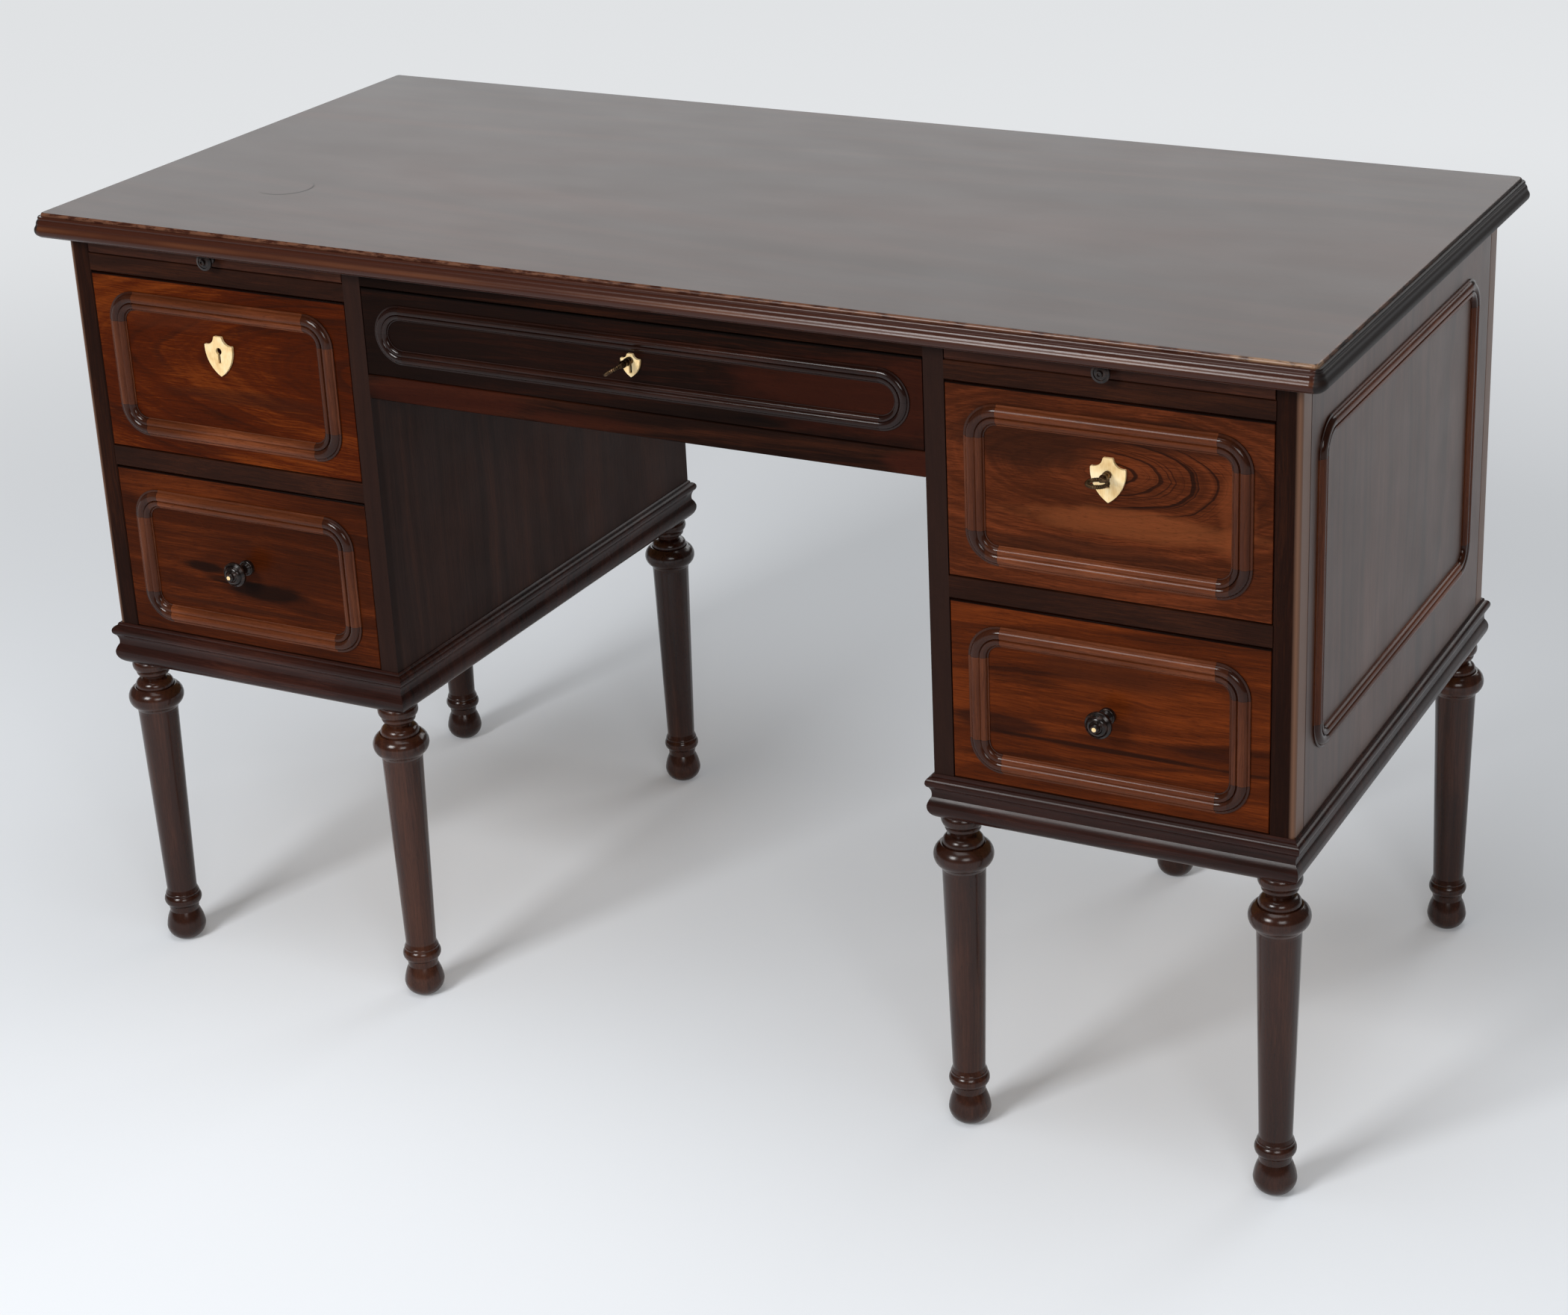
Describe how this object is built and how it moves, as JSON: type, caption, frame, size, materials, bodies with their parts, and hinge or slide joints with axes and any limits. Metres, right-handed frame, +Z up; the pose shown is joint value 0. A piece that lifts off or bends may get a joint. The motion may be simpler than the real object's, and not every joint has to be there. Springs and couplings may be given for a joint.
{
  "type": "pedestal writing desk",
  "caption": "Polished hardwood pedestal desk on turned legs, with framed drawers, pull-out writing slides, bone escutcheons and keys, around an open kneehole.",
  "frame": {"origin": "on the floor, under the middle of the desk's outline with the keys in their locks", "axes": "+X to the sitter's right along the desk, +Y from the sitter's side to the back, +Z up"},
  "size_m": [1.276, 0.6208, 0.78],
  "materials": {
    "top_rosewood": "worn French polish, satin, brown with reddish streaks",
    "case_rosewood": "dark French polish, satin",
    "rail_rosewood": "dark French polish, satin",
    "front_rosewood": "figured red-brown veneer, French polish",
    "moulding_rosewood": "dark French polish, glossy on the rolls",
    "frame_rosewood": "dark French polish, glossy on the rolls",
    "leg_rosewood": "dark French polish, satin",
    "slide_rosewood": "dark French polish, satin",
    "lining_mahogany": "planed and waxed",
    "bottom_oak": "planed, unpolished",
    "inner_oak": "planed, unpolished",
    "inner_pine": "planed, unpolished",
    "ebonised_wood": "black polish, glossy",
    "bone": "old bone, lightly polished",
    "key_bronze": "dark patinated bronze, worn bright on the edges",
    "lock_iron": "dull iron",
    "bolt_brass": "dull brass"
  },
  "bodies": {
    "carcass": {"top": "top_rosewood", "outer_posts": "case_rosewood", "side_panel_right": "case_rosewood", "side_panel_left": "case_rosewood", "inner_side_right": "case_rosewood", "inner_side_left": "case_rosewood", "back_panels": "case_rosewood", "front_rails": "rail_rosewood", "centre_top_rail": "rail_rosewood", "apron_rail": "rail_rosewood", "centre_back_rail": "case_rosewood", "bottom_boards": "inner_pine", "runners": "inner_oak", "centre_runners": "inner_oak", "drawer_stops": "inner_oak", "base_moulding_right": "moulding_rosewood", "base_moulding_left": "moulding_rosewood", "legs_right": "leg_rosewood", "legs_left": "leg_rosewood", "side_frame_right": "frame_rosewood", "side_frame_left": "frame_rosewood"},
    "writing_slide_right": {"slide_right": "slide_rosewood", "slide_knob_right": "ebonised_wood"},
    "writing_slide_left": {"slide_left": "slide_rosewood", "slide_knob_left": "ebonised_wood"},
    "top_drawer_right": {"top_drawer_front_right": "front_rosewood", "top_drawer_lining_right": "lining_mahogany", "top_drawer_bottom_right": "bottom_oak", "top_drawer_frame_right": "frame_rosewood", "top_drawer_escutcheon_right": "bone", "top_drawer_lock_right": "lock_iron"},
    "top_drawer_bolt_right": {"top_drawer_bolt_right": "bolt_brass"},
    "top_drawer_left": {"top_drawer_front_left": "front_rosewood", "top_drawer_lining_left": "lining_mahogany", "top_drawer_bottom_left": "bottom_oak", "top_drawer_frame_left": "frame_rosewood", "top_drawer_escutcheon_left": "bone", "top_drawer_lock_left": "lock_iron"},
    "top_drawer_bolt_left": {"top_drawer_bolt_left": "bolt_brass"},
    "low_drawer_right": {"low_drawer_front_right": "front_rosewood", "low_drawer_lining_right": "lining_mahogany", "low_drawer_bottom_right": "bottom_oak", "low_drawer_frame_right": "frame_rosewood", "low_drawer_knob_right": "ebonised_wood", "low_drawer_knob_dot_right": "bone"},
    "low_drawer_left": {"low_drawer_front_left": "front_rosewood", "low_drawer_lining_left": "lining_mahogany", "low_drawer_bottom_left": "bottom_oak", "low_drawer_frame_left": "frame_rosewood", "low_drawer_knob_left": "ebonised_wood", "low_drawer_knob_dot_left": "bone"},
    "centre_drawer": {"centre_drawer_front": "front_rosewood", "centre_drawer_lining": "lining_mahogany", "centre_drawer_bottom": "bottom_oak", "centre_drawer_frame": "frame_rosewood", "centre_drawer_escutcheon": "bone", "centre_drawer_lock": "lock_iron"},
    "centre_drawer_bolt": {"centre_drawer_bolt": "bolt_brass"},
    "key_right": {"key_right": "key_bronze"},
    "key_centre": {"key_centre": "key_bronze"}
  },
  "joints": [
    {"name": "writing_slide_right_pull", "type": "slide", "parent": "carcass", "child": "writing_slide_right", "axis": [0, -1, 0], "range_m": [0, 0.3]},
    {"name": "writing_slide_left_pull", "type": "slide", "parent": "carcass", "child": "writing_slide_left", "axis": [0, -1, 0], "range_m": [0, 0.3]},
    {"name": "top_drawer_right_pull", "type": "slide", "parent": "carcass", "child": "top_drawer_right", "axis": [0, -1, 0], "range_m": [0, 0.36]},
    {"name": "top_drawer_bolt_right_throw", "type": "slide", "parent": "top_drawer_right", "child": "top_drawer_bolt_right", "axis": [0, 0, 1], "range_m": [0, 0.008]},
    {"name": "top_drawer_left_pull", "type": "slide", "parent": "carcass", "child": "top_drawer_left", "axis": [0, -1, 0], "range_m": [0, 0.36]},
    {"name": "top_drawer_bolt_left_throw", "type": "slide", "parent": "top_drawer_left", "child": "top_drawer_bolt_left", "axis": [0, 0, 1], "range_m": [0, 0.008]},
    {"name": "low_drawer_right_pull", "type": "slide", "parent": "carcass", "child": "low_drawer_right", "axis": [0, -1, 0], "range_m": [0, 0.36]},
    {"name": "low_drawer_left_pull", "type": "slide", "parent": "carcass", "child": "low_drawer_left", "axis": [0, -1, 0], "range_m": [0, 0.36]},
    {"name": "centre_drawer_pull", "type": "slide", "parent": "carcass", "child": "centre_drawer", "axis": [0, -1, 0], "range_m": [0, 0.36]},
    {"name": "centre_drawer_bolt_throw", "type": "slide", "parent": "centre_drawer", "child": "centre_drawer_bolt", "axis": [0, 0, 1], "range_m": [0, 0.008]},
    {"name": "key_right_turn", "type": "hinge", "parent": "top_drawer_right", "child": "key_right", "pos_m": [0.44835, -0.27045, 0.66], "axis": [0, 1, 0], "range_deg": [0, 90]},
    {"name": "key_centre_turn", "type": "hinge", "parent": "centre_drawer", "child": "key_centre", "pos_m": [0, -0.27045, 0.7047], "axis": [0, 1, 0], "range_deg": [0, 90]}
  ],
  "couplings": [
    {"joint": "key_right_turn", "follows": "top_drawer_bolt_right_throw", "rad_per_m": 196.3},
    {"joint": "key_centre_turn", "follows": "centre_drawer_bolt_throw", "rad_per_m": 196.3}
  ]
}
